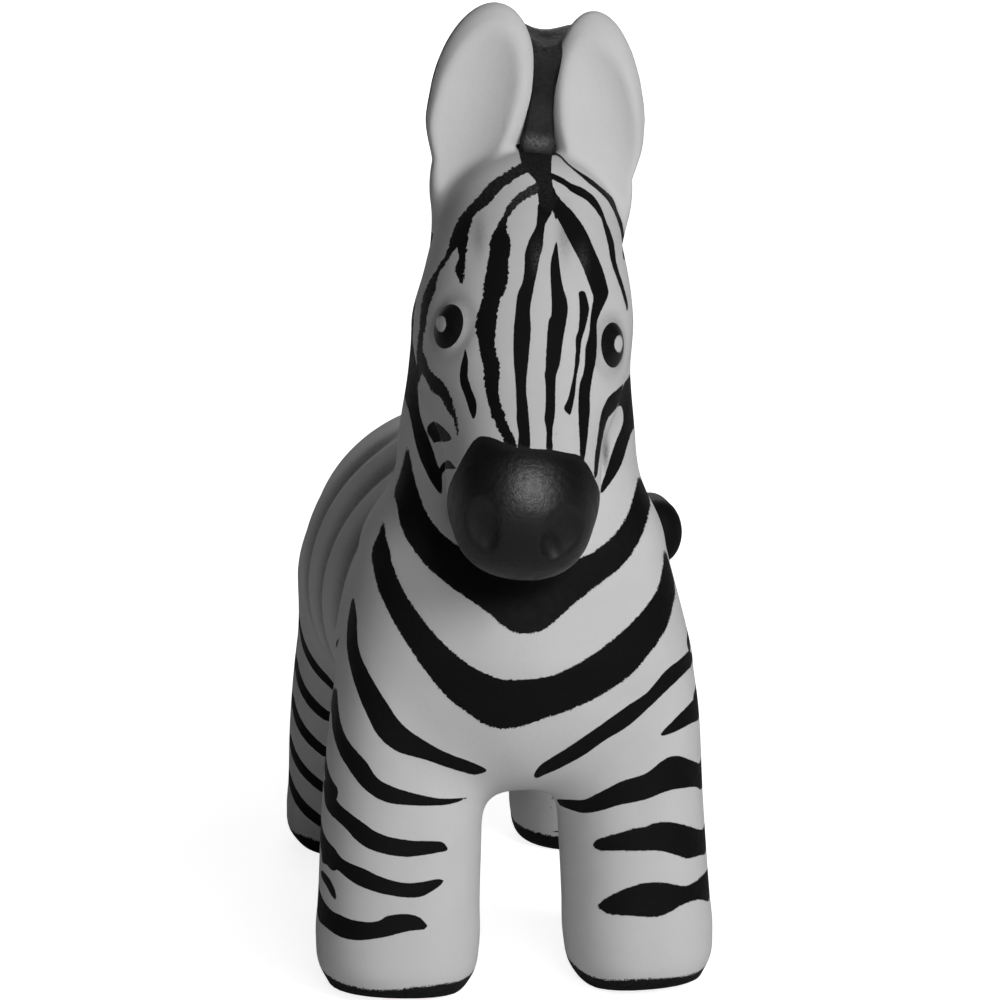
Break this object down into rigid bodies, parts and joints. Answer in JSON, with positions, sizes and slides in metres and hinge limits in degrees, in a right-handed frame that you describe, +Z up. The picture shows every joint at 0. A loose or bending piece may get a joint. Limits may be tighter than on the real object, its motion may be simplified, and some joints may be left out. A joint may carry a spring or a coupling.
{
  "type": "zebra stress toy",
  "caption": "Soft foam squeeze toy shaped as a standing zebra, with upright ears, a crested mane, a rounded black muzzle, a curled tail and flat soles to stand on.",
  "frame": {"origin": "middle of the whole toy's bounding box, on the ground plane of the soles", "axes": "+Z up, the toy faces -Y, its own left side is +X"},
  "size_m": [0.0418, 0.0772, 0.0994],
  "materials": {
    "white_foam": "matt coated foam, white with black painted stripes",
    "black_paint": "satin black paint on foam",
    "eye_paint": "glossy black painted dome with a white dot"
  },
  "bodies": {
    "torso": {"torso": "white_foam", "tail": "white_foam", "tail_tuft": "black_paint"},
    "head": {"neck": "white_foam", "head": "white_foam", "muzzle": "black_paint", "mane": "black_paint", "eye_left": "eye_paint", "eye_right": "eye_paint"},
    "ear_left": {"ear_left": "white_foam"},
    "ear_right": {"ear_right": "white_foam"},
    "leg_front_left": {"leg_front_left": "white_foam", "hoof_front_left": "black_paint"},
    "leg_front_right": {"leg_front_right": "white_foam", "hoof_front_right": "black_paint"},
    "leg_rear_left": {"leg_rear_left": "white_foam", "hoof_rear_left": "black_paint"},
    "leg_rear_right": {"leg_rear_right": "white_foam", "hoof_rear_right": "black_paint"}
  },
  "joints": [
    {"name": "neck_nod", "type": "hinge", "parent": "torso", "child": "head", "pos_m": [-0.00071, -0.00943, 0.0462], "axis": [1, 0, 0], "range_deg": [-10, 10], "stiffness_Nm_per_rad": 0.1},
    {"name": "ear_left_fold", "type": "hinge", "parent": "head", "child": "ear_left", "pos_m": [0.00895, -0.00323, 0.08024], "axis": [0.9914, 0, -0.1305], "range_deg": [-15, 15], "stiffness_Nm_per_rad": 0.002},
    {"name": "ear_right_fold", "type": "hinge", "parent": "head", "child": "ear_right", "pos_m": [-0.00359, -0.00323, 0.08189], "axis": [0.9914, 0, -0.1305], "range_deg": [-15, 15], "stiffness_Nm_per_rad": 0.002},
    {"name": "leg_front_left_flex", "type": "hinge", "parent": "torso", "child": "leg_front_left", "pos_m": [0.01089, -0.01843, 0.024], "axis": [1, 0, 0], "range_deg": [-8, 8], "stiffness_Nm_per_rad": 0.06},
    {"name": "leg_front_right_flex", "type": "hinge", "parent": "torso", "child": "leg_front_right", "pos_m": [-0.01231, -0.01843, 0.024], "axis": [1, 0, 0], "range_deg": [-8, 8], "stiffness_Nm_per_rad": 0.06},
    {"name": "leg_rear_left_flex", "type": "hinge", "parent": "torso", "child": "leg_rear_left", "pos_m": [0.01089, 0.02757, 0.024], "axis": [1, 0, 0], "range_deg": [-8, 8], "stiffness_Nm_per_rad": 0.06},
    {"name": "leg_rear_right_flex", "type": "hinge", "parent": "torso", "child": "leg_rear_right", "pos_m": [-0.01231, 0.02757, 0.024], "axis": [1, 0, 0], "range_deg": [-8, 8], "stiffness_Nm_per_rad": 0.06}
  ]
}
